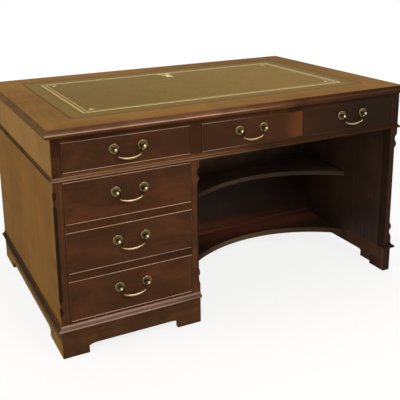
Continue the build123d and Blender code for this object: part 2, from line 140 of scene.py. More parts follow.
def sees_backdrop(wire):
    """1 where the camera, a reflection or a view through glass meets the backdrop itself."""
    rays = ("Is Camera Ray", "Is Glossy Ray", "Is Transmission Ray")
    direct, mirrored, through = [wire.node("ShaderNodeLightPath", out=ray) for ray in rays]
    return direct.larger(mirrored).larger(through)


world = bpy.data.worlds.new("studio")
world.use_nodes = True
world.node_tree.nodes.clear()
sky = Wire(world.node_tree)
strength = sees_backdrop(sky) * (1 - sky_light) + sky_light
backing = sky.node("ShaderNodeBackground", None, {"Color": WHITE, "Strength": strength})
sky.node("ShaderNodeOutputWorld", None, {"Surface": backing})
bpy.context.scene.world = world

paper = bpy.data.materials.new("floor_paper")
paper.use_nodes = True
paper.node_tree.nodes.clear()
sheet = Wire(paper.node_tree)
matt = sheet.node("ShaderNodeBsdfDiffuse", None, {"Color": PAPER})
glow = sheet.node("ShaderNodeEmission", None, {"Color": WHITE, "Strength": 1.0})
spot = sheet.node("ShaderNodeTexCoord", out="Object")
away = spot.node("ShaderNodeVectorMath", {"operation": "LENGTH"}, {0: spot}, "Value")
whiteness = away.ramp(*shadow_reach) * floor_shadow + (1 - floor_shadow)
lit = sheet.node(
    "ShaderNodeMixShader", None, {0: sees_backdrop(sheet) * whiteness, 1: matt, 2: glow}
)
sheet.node("ShaderNodeOutputMaterial", None, {"Surface": lit})

floor_mesh = bmesh.new()
bmesh.ops.create_grid(floor_mesh, x_segments=1, y_segments=1, size=floor_reach)
floor_data = bpy.data.meshes.new("floor")
floor_mesh.to_mesh(floor_data)
floor_mesh.free()
floor = bpy.data.objects.new("floor", floor_data)
floor_data.materials.append(paper)
bpy.context.scene.collection.objects.link(floor)


def lamp(name, place, aim, size, power, tint):
    """A soft rectangular lamp that the camera doesn't see."""
    light = bpy.data.lights.new(name, "AREA")
    light.shape = "RECTANGLE"
    light.size, light.size_y = size
    light.energy = power
    light.color = tint
    holder = bpy.data.objects.new(name, light)
    holder.location = place
    holder.rotation_euler = (Vector(aim) - Vector(place)).to_track_quat("-Z", "Y").to_euler()
    holder.visible_camera = False
    bpy.context.scene.collection.objects.link(holder)


lamp(
    "left_lamp",
    place=(-3.6, -0.3, 2.2),
    aim=(-0.4, 0, 0.4),
    size=(2.4, 2.2),
    power=80,
    tint=(1.0, 0.94, 0.82),
)
lamp(
    "top_lamp",
    place=(0.2, 0.6, 3.8),
    aim=(0, 0, 0.7),
    size=(2.6, 2.0),
    power=60,
    tint=(1.0, 0.95, 0.86),
)
lamp(
    "front_lamp",
    place=(0.5, -3.0, 2.6),
    aim=(-0.3, -0.4, 0.5),
    size=(2.0, 0.4),
    power=60,
    tint=(1.0, 0.92, 0.88),
)

# The camera stands to the left of the desk's front, half a metre above its top. Its angles are
# in radians. Its focal length and the pixel on its axis belong to a picture that is 400 pixels
# wide and high.
eye = (-1.172814, -2.370182, 1.2846)
turn, dip, roll = 0.456, 0.244, 0.015
focal_px, middle_px = 675.046, (188.218, 120.0)
frame_px = 400
sensor_mm = 36

ahead = Vector((math.sin(turn) * math.cos(dip), math.cos(turn) * math.cos(dip), -math.sin(dip)))
across = Vector((math.cos(turn), -math.sin(turn), 0))
down = ahead.cross(across)
right_row = across * math.cos(roll) + down * math.sin(roll)
down_row = down * math.cos(roll) - across * math.sin(roll)
view_axes = Matrix((right_row, -down_row, -ahead)).transposed()

lens = bpy.data.cameras.new("camera")
lens.sensor_width = sensor_mm
lens.lens = focal_px / frame_px * sensor_mm
lens.shift_x = (frame_px / 2 - middle_px[0]) / frame_px
lens.shift_y = (middle_px[1] - frame_px / 2) / frame_px
camera = bpy.data.objects.new("camera", lens)
camera.matrix_world = Matrix.Translation(eye) @ view_axes.to_4x4()
bpy.context.scene.collection.objects.link(camera)
bpy.context.scene.camera = camera

# The carcass: posts, rails and panels of mahogany, glued and screwed together. The outer ends
# are veneered with a paler, golden leaf whose grain stands upright, and are partly painted
# light: they are painted lighter for the light that falls on them. The front is stained a deep
# red-brown, with painted shade towards its right end, and faces in the kneehole carry painted
# shade. Colours in threes are the wood's dark, middle and pale tone.
DEEP = colour(40, 23, 12)
RED = colour(70, 41, 21)
GLOW = colour(98, 58, 30)
# The next colour is painted shade, laid over the front towards its right end.
SHADED = colour(25, 17, 12)
ARRIS = (colour(28, 18, 12), colour(40, 26, 17), colour(52, 34, 22))
# The golden triples for the ends, here and below, are partly painted light: a paler veneer,
# lightened further for the light that falls on the ends.
GOLDEN = (colour(94, 64, 23), colour(112, 77, 28), colour(126, 90, 36))
# The next two triples are painted shade: the kneehole's dark, and the end panels' inner faces.
KNEEHOLE_SHADE = (colour(34, 24, 18), colour(48, 34, 26), colour(62, 43, 30))
INNER_SHADE = (colour(46, 34, 27), colour(64, 47, 37), colour(80, 58, 43))
UPRIGHT = (colour(52, 32, 17), colour(92, 55, 31), colour(114, 70, 40))
MM = 0.001
glossy = 0.28
polished = 0.4
satin = 0.7
right_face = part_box("end_panel")[1].x
veneer_depth = 0.5 * MM
dark_end = (-0.1, 0.62)
chamfer_turn = (0.1, 0.3)
forward = -0.3
sideways = 0.9


def new_finish(name):
    """A material, and the point on the piece from which its patterns start."""
    material = bpy.data.materials.new(name)
    material.use_nodes = True
    material.node_tree.nodes.clear()
    place = Wire(material.node_tree).node("ShaderNodeTexCoord", out="Object")
    return material, place


def noise(place, scale, detail=2.0, roughness=0.5, twist=0.0, shift=(0, 0, 0)):
    """Cloudy values from 0 to 1. Scale is in cells per metre along each axis."""
    stretch = {"Vector": place, "Location": shift, "Scale": scale}
    sockets = {
        "Vector": place.node("ShaderNodeMapping", {"vector_type": "POINT"}, stretch),
        "Scale": 1.0,
        "Detail": detail,
        "Roughness": roughness,
        "Distortion": twist,
    }
    return place.node("ShaderNodeTexNoise", {"noise_dimensions": "3D"}, sockets)


def joined(x, y, z):
    source = next(part for part in (x, y, z) if isinstance(part, Wire))
    return source.node("ShaderNodeCombineXYZ", None, {0: x, 1: y, 2: z})


def along(place, axis):
    """The place with the grain's own axis first. The axis is x, y or z, or a function that
    turns the place."""
    if callable(axis):
        return axis(place)
    x, y, z = place.split()
    return joined(*{"x": (x, y, z), "y": (y, x, z), "z": (z, x, y)}[axis])


def wood_pattern(grain, shift=(0, 0, 0)):
    """Where wood is dark or pale, from a place whose first axis runs with the grain: slow drifts
    of colour, ribbons across the grain, growth streaks and short dark pores."""
    drift = noise(grain, (1.3, 5, 5), 3, 0.55, twist=0.6, shift=shift).ramp(0.34, 0.66)
    ribbon = noise(grain, (11, 3, 3), 2, 0.5, twist=0.3, shift=shift).ramp(0.35, 0.65)
    streak = noise(grain, (2.2, 85, 85), 4, 0.6, twist=0.4, shift=shift).ramp(0.38, 0.66)
    pore = noise(grain, (55, 1400, 1400), 1, 0.5, shift=shift).ramp(0.56, 0.7)
    return drift, ribbon, streak, pore


def polish(
    material, place, tone, sheen, height, specular=0.04, depth=0.25, strength=0.35, metal=0.0
):
    """Ties a pattern's colour, roughness and height to the surface. Depth is in millimetres."""
    lifted = place.node(
        "ShaderNodeBump", None, {"Strength": strength, "Distance": depth * MM, "Height": height}
    )
    sockets = {
        "Base Color": tone,
        "Roughness": sheen,
        "Metallic": metal,
        "Normal": lifted,
        "Specular IOR Level": specular,
    }
    surface = place.node("ShaderNodeBsdfPrincipled", None, sockets)
    place.node("ShaderNodeOutputMaterial", None, {"Surface": surface})
    return material


def facing(place):
    """The three shares of the way the surface looks, in the desk's own axes."""
    return place.node("ShaderNodeTexCoord", out="Normal").split()


def front_edges(place):
    """1 on what looks forward."""
    return facing(place)[1].below(forward)


def shade(place):
    """0 on most of the front and 1 at its right end, where painted shade is darkest."""
    return place.split()[0].ramp(*dark_end) * front_edges(place)


def mahogany(
    name, axis, tones=(DEEP, RED, GLOW), covers=(), specular=0.04, shift=(0, 0, 0), gloss=polished
):
    """Polished mahogany with its grain along an axis. Each cover gives where the wood has other
    tones, as a value from 0 to 1, those tones, and the roughness there."""
    material, place = new_finish(name)
    drift, ribbon, streak, pore = wood_pattern(along(place, axis), shift)
    deep, mid, pale = tones
    for where, other, rough in covers:
        mask = where(place)
        deep, mid, pale = [mask.mix(one, two) for one, two in zip((deep, mid, pale), other)]
        gloss = mask * (rough - gloss) + gloss
    tone = (drift * 0.75 + streak * 0.25).mix(mid, deep)
    tone = (ribbon * streak * 0.5).mix(tone, pale)
    tone = (pore * 0.45).mix(tone, deep)
    # Painted shade darkens the front towards its right end.
    tone = (shade(place) * 0.75).mix(tone, SHADED)
    sheen = streak * 0.06 + pore * 0.1 + gloss
    return polish(material, place, tone, sheen, streak * 0.3 - pore, specular)


def finish_with(material, *names):
    """Gives CAD pieces their material."""
    for name in names:
        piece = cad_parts[name]
        piece.data.materials.clear()
        piece.data.materials.append(material)


def outer_faces(place):
    """1 on the two outer ends of the desk."""
    return abs(place.split()[0]).above(right_face - veneer_depth)


def chamfers(place):
    """1 on the posts' stopped chamfers, which are darker."""
    x, y, z = facing(place)
    return (abs(x) * abs(y)).ramp(*chamfer_turn)


def knee_faces(place):
    """1 on the faces that look sideways, into the kneehole, where painted shade lies."""
    return abs(facing(place)[0]).above(sideways)


golden_ends = (outer_faces, GOLDEN, satin)
post_covers = ((chamfers, ARRIS, satin), (knee_faces, KNEEHOLE_SHADE, satin), golden_ends)
post_wood = mahogany("mahogany_upright", "z", UPRIGHT, post_covers)
end_wood = mahogany("mahogany_ends", "z", INNER_SHADE, (golden_ends,))
finish_with(post_wood, "pedestal_posts", "end_post")
finish_with(mahogany("mahogany_rails", "x"), "pedestal_rails", "pedestal_back", "frieze_back")
finish_with(end_wood, "pedestal_sides", "end_panel")

# The plinth: boards cut to bracket feet, mitred at the corners, with a moulding planted on top
# of them and blocks glued inside the feet. The mouldings carry a painted highlight where they
# look up and forward, the boards a painted shadow close under the moulding, and the outer ends
# a golden tone that is partly painted light.
PLINTH = (colour(56, 34, 20), colour(92, 58, 34), colour(110, 72, 42))
# The plinth's golden ends are partly painted light, like the carcass's.
PLINTH_END = (colour(104, 73, 29), colour(122, 87, 35), colour(136, 99, 43))
# A painted shadow on the boards close under the moulding.
PLINTH_SHADED = (colour(44, 30, 14), colour(60, 42, 19), colour(72, 51, 24))
LINING = (colour(48, 29, 17), colour(76, 48, 28), colour(90, 58, 34))
MOULDING = (colour(44, 26, 15), colour(78, 50, 28), colour(96, 64, 38))
# The next two triples, the mouldings' golden ends, are partly painted light.
MOULDING_END = (colour(60, 42, 20), colour(84, 60, 30), colour(100, 72, 38))
LOW_MOULDING_END = (colour(46, 32, 16), colour(66, 47, 25), colour(80, 57, 31))
# The next three triples are painted highlights on beads and mouldings.
BEAD_HIGHLIGHT = (colour(146, 110, 86), colour(194, 158, 132), colour(212, 182, 158))
WAIST_HIGHLIGHT = (colour(104, 72, 50), colour(142, 106, 80), colour(160, 124, 98))
PLINTH_HIGHLIGHT = (colour(130, 100, 86), colour(164, 134, 118), colour(182, 154, 140))
front_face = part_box("pedestal_posts")[0].y
moulding_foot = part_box("plinth_mouldings")[0].z
shadow_end = moulding_foot - 58 * MM
shadow_full = moulding_foot - 26 * MM
tilted_forward = -0.12
tilted_sideways = 0.2
glint_fades = (-0.3, 0.15)
least_glint = 0.65
bead_turn = (0.02, 0.4)
crease_turn = (0.35, 0.7)
nose_turn = (-0.75, -0.3)
crease_depth = 0.6


def shadow_under_moulding(place):
    """1 on the boards' outer faces close under the moulding, where a painted shadow lies."""
    return outer_faces(place) * place.split()[2].ramp(shadow_end, shadow_full)


def mitred(place):
    """Grain along the nearest edge of the desk: along x in front and behind, along y at the
    ends."""
    x, y, z = place.split()
    at_end = (abs(x) - right_face).above(abs(y) - abs(front_face))
    return at_end.choose(place, joined(y, x, z))


def highlit_front(place):
    """Where painted highlights lie: 1 on the front of the pedestal, in long patches, and fading
    out to the right of it.
    """
    patches = noise(place, (2.6, 9, 9), shift=(5, 0, 3)).ramp(0.3, 0.62)
    glint_level = patches * (1 - least_glint) + least_glint
    in_front = facing(place)[1].below(tilted_forward)
    return glint_level * in_front * (1 - place.split()[0].ramp(*glint_fades))


def bead_glint(place):
    """A painted highlight: 1 where a bead on the front looks up."""
    return highlit_front(place) * facing(place)[2].ramp(*bead_turn)


def nose_glint(place):
    """A painted highlight: 1 on a moulding's hollow and on its round nose, less in the crease
    between the two.
    """
    upward = facing(place)[2]
    crease = upward.ramp(*crease_turn) * crease_depth
    return highlit_front(place) * upward.ramp(*nose_turn) * (1 - crease)


def moulding_ends(place):
    """1 on the mouldings' outer ends, which are golden brown, partly as painted light."""
    return abs(facing(place)[0]).above(tilted_sideways)


plinth_covers = ((outer_faces, PLINTH_END, satin), (shadow_under_moulding, PLINTH_SHADED, satin))
waist_covers = ((nose_glint, WAIST_HIGHLIGHT, polished), (moulding_ends, MOULDING_END, satin))
low_covers = ((nose_glint, PLINTH_HIGHLIGHT, polished), (moulding_ends, LOW_MOULDING_END, satin))
finish_with(
    mahogany("mahogany_plinth", "x", PLINTH, plinth_covers, shift=(3, 1, 0)),
    "pedestal_plinth_front",
    "pedestal_plinth_back",
)
finish_with(
    mahogany("mahogany_plinth_ends", "y", PLINTH, plinth_covers),
    "pedestal_plinth_sides",
    "end_plinth",
)
finish_with(mahogany("mahogany_lining", "y", LINING), "end_lining")
finish_with(mahogany("mahogany_blocks", "z"), "foot_blocks")
finish_with(
    mahogany("mahogany_waist", mitred, MOULDING, waist_covers, gloss=satin), "waist_moulding"
)
finish_with(
    mahogany("mahogany_plinth_moulding", mitred, MOULDING, low_covers, gloss=satin),
    "plinth_mouldings",
)

# The kneehole: two shelves with hollowed fronts, a panel behind them and a strip at its foot,
# all housed between the pedestal and the end support. Its dark tones are painted shade, darkest
# on the forward edges beside the pedestal. The shelves' front edges carry a painted sheen that
# grows to the right, the upper shelf's top a greyish painted sheen, and the lower shelf's rear
# and the panel's foot a red painted sheen; the panel is paler at its head.
# A painted sheen on the shelves' front edges.
SHELF_EDGE_SHEEN = (colour(98, 74, 50), colour(128, 100, 70), colour(148, 120, 88))
# A red painted sheen on the lower shelf's rear and the panel's foot.
RED_SHEEN = (colour(64, 34, 24), colour(90, 51, 36), colour(104, 61, 43))
# Painted shade for the shelves' forward edges.
EDGE_SHADE = (colour(18, 12, 9), colour(26, 18, 14), colour(34, 24, 18))
# A greyish painted sheen on the upper shelf's top.
GREY_SHEEN = (colour(62, 52, 44), colour(80, 68, 57), colour(92, 79, 66))
PANEL_HIGH = (colour(84, 62, 48), colour(108, 82, 64), colour(122, 94, 74))
panel_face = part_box("kneehole_panel")[0].y
shelf_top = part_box("lower_shelf")[1].z
edge_sheen_span = (-0.12, 0.3)
upward = 0.5
sheen_from = panel_face - 150 * MM
sheen_full = panel_face - 50 * MM
foot_full = shelf_top + 10 * MM
foot_end = shelf_top + 60 * MM
head_from, head_full = 0.26, 0.46
inner_specular = 0.07


def sheen_on_edges(place):
    """A painted sheen: 1 on edges that look forward, and nothing beside the pedestal."""
    return front_edges(place) * place.split()[0].ramp(*edge_sheen_span)


def top_faces(place):
    """1 on faces that look up."""
    return facing(place)[2].above(upward)


def shelf_back_sheen(place):
    """1 on the rear of the lower shelf, where a red painted sheen lies."""
    return place.split()[1].ramp(sheen_from, sheen_full) * top_faces(place)


def panel_foot_sheen(place):
    """1 at the foot of the panel, above the lower shelf, where a red painted sheen lies."""
    return 1 - place.split()[2].ramp(foot_full, foot_end)


def head_of_panel(place):
    """1 on the upper part of the panel, which is paler."""
    return place.split()[2].ramp(head_from, head_full)


edge_covers = ((front_edges, EDGE_SHADE, satin), (sheen_on_edges, SHELF_EDGE_SHEEN, polished))
lower_covers = ((shelf_back_sheen, RED_SHEEN, satin), *edge_covers)
upper_covers = ((top_faces, GREY_SHEEN, satin), *edge_covers)
panel_covers = ((panel_foot_sheen, RED_SHEEN, satin), (head_of_panel, PANEL_HIGH, satin))
finish_with(
    mahogany("mahogany_lower_shelf", "x", KNEEHOLE_SHADE, lower_covers, shift=(0, 7, 2)), "lower_shelf"
)
finish_with(
    mahogany("mahogany_upper_shelf", "x", KNEEHOLE_SHADE, upper_covers, inner_specular, (6, 2, 1)),
    "upper_shelf",
)
finish_with(
    mahogany("mahogany_knee_panel", "x", KNEEHOLE_SHADE, panel_covers, inner_specular, (2, 3, 5)),
    "kneehole_panel",
    "base_strip",
)

# The frieze: a mahogany face frame over the drawers' openings and two end boards with golden
# faces, partly painted light. The frame's posts and divider stand upright and its rails lie
# level; the rail under the left drawer is paler, fading out under the wide one.
FRIEZE_END = (colour(108, 80, 40), colour(126, 94, 48), colour(138, 106, 58))
LOW_RAIL = (colour(74, 45, 22), colour(100, 62, 32), colour(116, 76, 42))
left_low, left_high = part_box("frieze_drawer_front")
wide_low, wide_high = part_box("wide_drawer_front")
low_rail_end = left_high.x + 300 * MM


def frame_grain(place):
    """Grain upright in the posts and the divider, level in the rails."""
    x, y, z = place.split()
    divider = x.above(left_high.x) * x.below(wide_low.x)
    post = x.below(left_low.x) + x.above(wide_high.x) + divider
    return post.choose(place, joined(z, x, y))


def low_rail(place):
    """1 on the rail under the left frieze drawer, fading out under the wide one."""
    x, y, z = place.split()
    under = z.below(left_low.z) * front_edges(place)
    return under * x.above(left_low.x) * (1 - x.ramp(left_high.x, low_rail_end))


frieze_ends = (outer_faces, FRIEZE_END, satin)
frame_covers = (frieze_ends, (low_rail, LOW_RAIL, polished))
finish_with(
    mahogany("mahogany_face_frame", frame_grain, covers=frame_covers), "frieze_face_frame"
)
finish_with(
    mahogany("mahogany_frieze_ends", "z", covers=(frieze_ends,), shift=(1, 0, 4)), "frieze_ends"
)

# The top: a slab edged all round with one moulding, a cove over a bead, and veneered with a
# broad border, whose leaves meet in mitres at the corners of the leather.
# The border's golden flat is a paler veneer, partly painted light from above.
TOP = (colour(96, 66, 30), colour(117, 85, 40), colour(132, 97, 48))
TOP_EDGE = (colour(62, 36, 18), colour(98, 60, 32), colour(116, 74, 42))
# The moulding's golden ends are partly painted light.
TOP_EDGE_END = (colour(70, 50, 26), colour(98, 72, 40), colour(112, 84, 48))
top_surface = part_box("top_panel")[1].z
flat_depth = 1 * MM
cove_foot = (top_surface - 15 * MM, top_surface - 12 * MM)
edge_glint_fades = (-0.2, 0.22)
edge_bead_turn = (0.02, 0.5)
cove_glint = 0.12


def flat_of_top(place):
    """1 on the top's flat, 0 on its moulded edge."""
    return place.split()[2].above(top_surface - flat_depth)


def glinting_edge(place):
    """1 on the left half of the top's front edge, where painted highlights lie."""
    return facing(place)[1].below(tilted_forward) * (1 - place.split()[0].ramp(*edge_glint_fades))


def cove_height(place):
    """1 at the height of the cove and above, 0 at that of the bead."""
    return place.split()[2].ramp(*cove_foot)


def bead_of_top(place):
    """1 along the upper half of the bead in front, where a painted highlight lies."""
    looks_up = facing(place)[2].ramp(*edge_bead_turn)
    return glinting_edge(place) * looks_up * (1 - cove_height(place))


def cove_of_top(place):
    """A trace of the same painted highlight in the cove in front."""
    return glinting_edge(place) * cove_height(place) * (1 - flat_of_top(place)) * cove_glint


# The bead and cove in front carry a painted highlight along the left half.
top_covers = (
    (moulding_ends, TOP_EDGE_END, satin),
    (bead_of_top, BEAD_HIGHLIGHT, glossy),
    (cove_of_top, BEAD_HIGHLIGHT, polished),
    (flat_of_top, TOP, satin),
)
finish_with(mahogany("mahogany_top", mitred, TOP_EDGE, top_covers, gloss=satin), "top_panel")

# The leather: one hide, dyed olive brown and darker towards its edge, glued into the top almost
# level with the wood. Its rim is rounded, and its face has a fine pebbled grain.
HIDE = colour(120, 96, 46)
HIDE_DARK = colour(94, 76, 38)
HIDE_GREEN = colour(102, 84, 40)
HIDE_RIM = colour(72, 58, 28)
leather_low, leather_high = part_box("leather_inset")
half_x = (leather_high.x - leather_low.x) / 2
half_y = (leather_high.y - leather_low.y) / 2
centre_y = (leather_high.y + leather_low.y) / 2
leather_surface = leather_high.z - 0.25 * MM
leather_edge = 0.6 * MM
leather_round = 10 * MM
weld_gap = 0.001 * MM
dark_left = (-0.6, 0.4)
green_band = (30 * MM, 55 * MM)
rim_band = (2 * MM, 14 * MM)
pebbles_per_metre = 620.0
bends_per_metre = 300.0
pebble_bend = 1.2 * MM


def finished_piece(name, mesh, material, body, smooth=True):
    """Makes a bmesh a piece of the desk that rides on a body."""
    bmesh.ops.remove_doubles(mesh, verts=mesh.verts, dist=weld_gap)
    bmesh.ops.recalc_face_normals(mesh, faces=mesh.faces)
    for face in mesh.faces:
        face.smooth = smooth
    data = bpy.data.meshes.new(name)
    mesh.to_mesh(data)
    mesh.free()
    data.materials.append(material)
    piece = bpy.data.objects.new(name, data)
    bpy.context.scene.collection.objects.link(piece)
    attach(piece, body)
    return piece


def thickened(mesh, faces, rise):
    """Pulls faces up by rise and keeps the sheet closed underneath."""
    grown = bmesh.ops.extrude_face_region(mesh, geom=faces, use_keep_orig=True)
    moved = [part for part in grown["geom"] if isinstance(part, bmesh.types.BMVert)]
    bmesh.ops.translate(mesh, verts=moved, vec=(0, 0, rise))
    return moved


def panel_sheet(reach_x, reach_y, height):
    """A flat rectangle about the leather's middle, from half its length and half its width."""
    mesh = bmesh.new()
    bmesh.ops.create_grid(mesh, x_segments=1, y_segments=1, size=1)
    bmesh.ops.scale(mesh, verts=mesh.verts, vec=(reach_x, reach_y, 1))
    bmesh.ops.translate(mesh, verts=mesh.verts, vec=(0, centre_y, height))
    return mesh


def bent(place):
    """The place pushed about a little, so that a pattern's cells aren't all alike."""
    sockets = {"Vector": place, "Scale": bends_per_metre}
    cells = place.node("ShaderNodeTexNoise", None, sockets, "Color")
    sockets = {0: cells, "Scale": pebble_bend}
    push = cells.node("ShaderNodeVectorMath", {"operation": "SCALE"}, sockets)
    return push.node("ShaderNodeVectorMath", {"operation": "ADD"}, {0: place, 1: push})


def hide_material():
    material, place = new_finish("olive_leather")
    x, y, z = place.split()
    to_edge = (half_x - abs(x)).smaller(half_y - abs(y - centre_y))
    cloud = noise(place, (5, 5, 5), 4, 0.6, twist=0.5).ramp(0.3, 0.7)
    mottle = noise(place, (60, 60, 60), 3, 0.6).ramp(0.3, 0.7)
    sockets = {"Vector": bent(place), "Scale": pebbles_per_metre}
    pebble = place.node("ShaderNodeTexVoronoi", {"feature": "F1"}, sockets, "Distance")
    tone = (cloud * 0.35 + mottle * 0.2).mix(HIDE, HIDE_DARK)
    tone = ((1 - x.ramp(*dark_left)) * 0.8).mix(tone, HIDE_DARK)
    tone = (1 - to_edge.ramp(*green_band)).mix(tone, HIDE_GREEN)
    tone = (1 - to_edge.ramp(*rim_band)).mix(tone, HIDE_RIM)
    tone = (pebble.ramp(0.35, 0.75) * 0.25).mix(tone, HIDE_DARK)
    sheen = 0.64 + mottle * 0.06 + pebble * 0.1
    return polish(material, place, tone, sheen, 1 - pebble, specular=0.06, depth=0.35)


hide = panel_sheet(half_x, half_y, leather_low.z)
bmesh.ops.bevel(
    hide,
    geom=hide.verts[:],
    offset=leather_round,
    offset_type="OFFSET",
    affect="VERTICES",
    segments=8,
    profile=0.5,
    material=-1,
)
hide_top = thickened(hide, hide.faces[:], leather_surface - leather_low.z)
rim = [edge for edge in hide.edges if all(vert in hide_top for vert in edge.verts)]
bmesh.ops.bevel(
    hide, geom=rim, offset=leather_edge, affect="EDGES", segments=3, profile=0.5, material=-1
)
leather = finished_piece("leather", hide, hide_material(), "carcass")
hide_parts("leather_inset")

# The gold tooling: leaf stamped into the leather with heated rolls and hand tools, a hair below
# the wood. The outer line is broad and bright. The roped line inside it is a row of slanting
# beads and has worn duller.
LEAF = colour(176, 158, 98)
LEAF_WORN = colour(146, 126, 72)
ROPE_LEAF = colour(160, 136, 80)
FIGURE_LEAF = colour(206, 188, 132)
leaf_proud = 0.15 * MM
leaf_layer = 0.006 * MM
leaf_bed = leather_surface - leaf_proud
line_inset = 61 * MM
line_width = 8 * MM
bead_inset = 80 * MM
bead_pitch = 8 * MM
bead_length, bead_width, bead_lean = 8.6, 5.4, 0.5
row_x = (half_x - bead_inset) / MM
row_y = (half_y - bead_inset) / MM
row_middle = centre_y / MM
left_dulling = (line_inset - half_x, line_inset - half_x + 40 * MM)


def gold_leaf(name, bright, worn_tone):
    """Leaf, bright where it is whole, duller in worn patches and duller still towards the left.
    """
    material, place = new_finish(name)
    patches = noise(place, (90, 90, 90), 4, 0.65).ramp(0.45, 0.75)
    worn = patches.larger(1 - place.split()[0].ramp(*left_dulling))
    tone = (worn * 0.8).mix(bright, worn_tone)
    sheen = worn * 0.2 + 0.4
    metal = 0.25 - worn * 0.2
    return polish(
        material, place, tone, sheen, worn, specular=0.15, depth=0.1, strength=0.3, metal=metal
    )


def stamped(mesh):
    """Gives flat figures the leaf's thickness."""
    thickened(mesh, mesh.faces[:], 2 * leaf_proud)


def heading(turn):
    return Vector((math.cos(turn), math.sin(turn)))


def dab(mesh, x, y, length, width, turn, sides=8, layer=0):
    """A flat petal or dot in millimetres, its length turned from the x axis. Where dabs overlap,
    the one with the higher layer lies over the other."""
    place = (
        Matrix.Translation((x * MM, y * MM, leaf_bed + layer * leaf_layer))
        @ Matrix.Rotation(turn, 4, "Z")
        @ Matrix.Diagonal((length / 2 * MM, width / 2 * MM, 1, 1))
    )
    bmesh.ops.create_circle(mesh, cap_ends=True, segments=sides, radius=1, matrix=place)


def bead_row(mesh, middle, reach, turn, lean):
    """Slanting beads side by side, as far as reach on either side of the middle."""
    count = round(2 * reach * MM / bead_pitch)
    for step in range(count):
        bead = middle + heading(turn) * ((step + 0.5) / count * 2 - 1) * reach
        dab(mesh, *bead, bead_length, bead_width, turn + lean, sides=6, layer=step % 2)


line = panel_sheet(half_x - line_inset, half_y - line_inset, leaf_bed)
bmesh.ops.inset_individual(
    line, faces=line.faces[:], thickness=line_width, use_even_offset=True
)
leather_middle = Vector((0, centre_y))
inside = min(line.faces, key=lambda face: (face.calc_center_median().xy - leather_middle).length)
bmesh.ops.delete(line, geom=[inside], context="FACES")
stamped(line)
bright_leaf = gold_leaf("gold_leaf", LEAF, LEAF_WORN)
finished_piece("gold_line", line, bright_leaf, "carcass", False)

beads = bmesh.new()
for side in (-1, 1):
    long_middle = Vector((0, row_middle + side * row_y))
    short_middle = Vector((side * row_x, row_middle))
    bead_row(beads, long_middle, row_x, 0, bead_lean * side)
    bead_row(beads, short_middle, row_y, math.pi / 2, bead_lean * side)
stamped(beads)
worn_leaf = gold_leaf("gold_leaf_worn", ROPE_LEAF, LEAF_WORN)
finished_piece("gold_beads", beads, worn_leaf, "carcass", False)

# Each corner spray is a faint stem with a small head of three petals. The ornament under the
# middle of the back line is two wings over a bar, from which five leaves fan towards the sitter
# between two curls. All of them are stamped from dabs whose sizes are in millimetres.
stem_reach, stem_length, stem_width = 14, 24, 2.2
head_reach, head_length, head_width = 31, 8, 6
petal_reach, petal_length, petal_width, petal_spread = 8, 12, 6, 0.9
leaf_start, leaf_length, leaf_width, leaf_spread = 2, 46, 8, 0.15
bar_depth, bar_length, bar_width = 40, 40, 15
wing_out, wing_depth, wing_length, wing_width, wing_lift = 17, 14, 30, 16, 0.5
curl_length, curl_width, curl_turn = 30, 2.4, 1
line_edge = row_middle + (half_y - line_inset - line_width) / MM

figures = bmesh.new()
stems = bmesh.new()
for side_x in (-1, 1):
    for side_y in (-1, 1):
        corner = Vector((side_x * row_x, row_middle + side_y * row_y))
        lean = math.atan2(-side_y, -side_x)
        stem = corner + heading(lean) * stem_reach
        head = corner + heading(lean) * head_reach
        dab(stems, *stem, stem_length, stem_width, lean, layer=2)
        dab(figures, *head, head_length, head_width, lean, layer=7)
        for layer, spread in enumerate((-petal_spread, 0, petal_spread), 3):
            petal = head + heading(lean + spread) * petal_reach
            dab(figures, *petal, petal_length, petal_width, lean + spread, 12, layer)

hub = Vector((0, line_edge - bar_depth))
for leaf in range(-2, 3):
    swing = leaf * leaf_spread - math.pi / 2
    middle = hub + heading(swing) * (leaf_length / 2 + leaf_start)
    dab(figures, *middle, leaf_length, leaf_width, swing, 12, layer=8 + leaf)
dab(figures, *hub, bar_length, bar_width, 0, 14, layer=11)
for side in (-1, 1):
    wing = Vector((side * wing_out, line_edge - wing_depth))
    dab(figures, *wing, wing_length, wing_width, side * wing_lift, 14, layer=4 + side)
    curl = hub + Vector((side * wing_out, -bar_width))
    dab(stems, *curl, curl_length, curl_width, side * curl_turn, layer=13 + side)
stamped(figures)
stamped(stems)
figure_leaf = gold_leaf("gold_leaf_figures", FIGURE_LEAF, LEAF_WORN)
finished_piece("gold_figures", figures, figure_leaf, "carcass", False)
finished_piece("gold_stems", stems, worn_leaf, "carcass", False)

# The linings: oak that is only waxed. Runners, partition, boards and drawer stops are glued
# inside the carcass.
OAK_DARK = colour(150, 118, 76)
OAK = colour(186, 152, 104)
OAK_PALE = colour(204, 174, 128)


def oak(name, axis, shift=(0, 0, 0)):
    """Plain oak with its grain along an axis."""
    material, place = new_finish(name)
    drift, ribbon, streak, pore = wood_pattern(along(place, axis), shift)
    tone = (drift * 0.5 + streak * 0.4).mix(OAK, OAK_DARK)
    tone = (ribbon * 0.3).mix(tone, OAK_PALE)
    tone = (pore * 0.5).mix(tone, OAK_DARK)
    sheen = streak * 0.1 + pore * 0.1 + 0.55
    return polish(material, place, tone, sheen, streak * 0.4 - pore, specular=0.3)


finish_with(
    oak("oak_runners", "y"),
    "frieze_partition",
    "frieze_runners",
    "pedestal_runners",
    "pedestal_boards",
    "drawer_stops",
)

# The drawers: oak boxes dovetailed behind mahogany fronts, which are veneered with flame
# figured leaves and edged all round with a rounded strip of cockbead let into a rebate.
FLAME_DEEP = colour(54, 33, 18)
FLAME = colour(78, 47, 26)
FLAME_GLOW = colour(104, 56, 28)
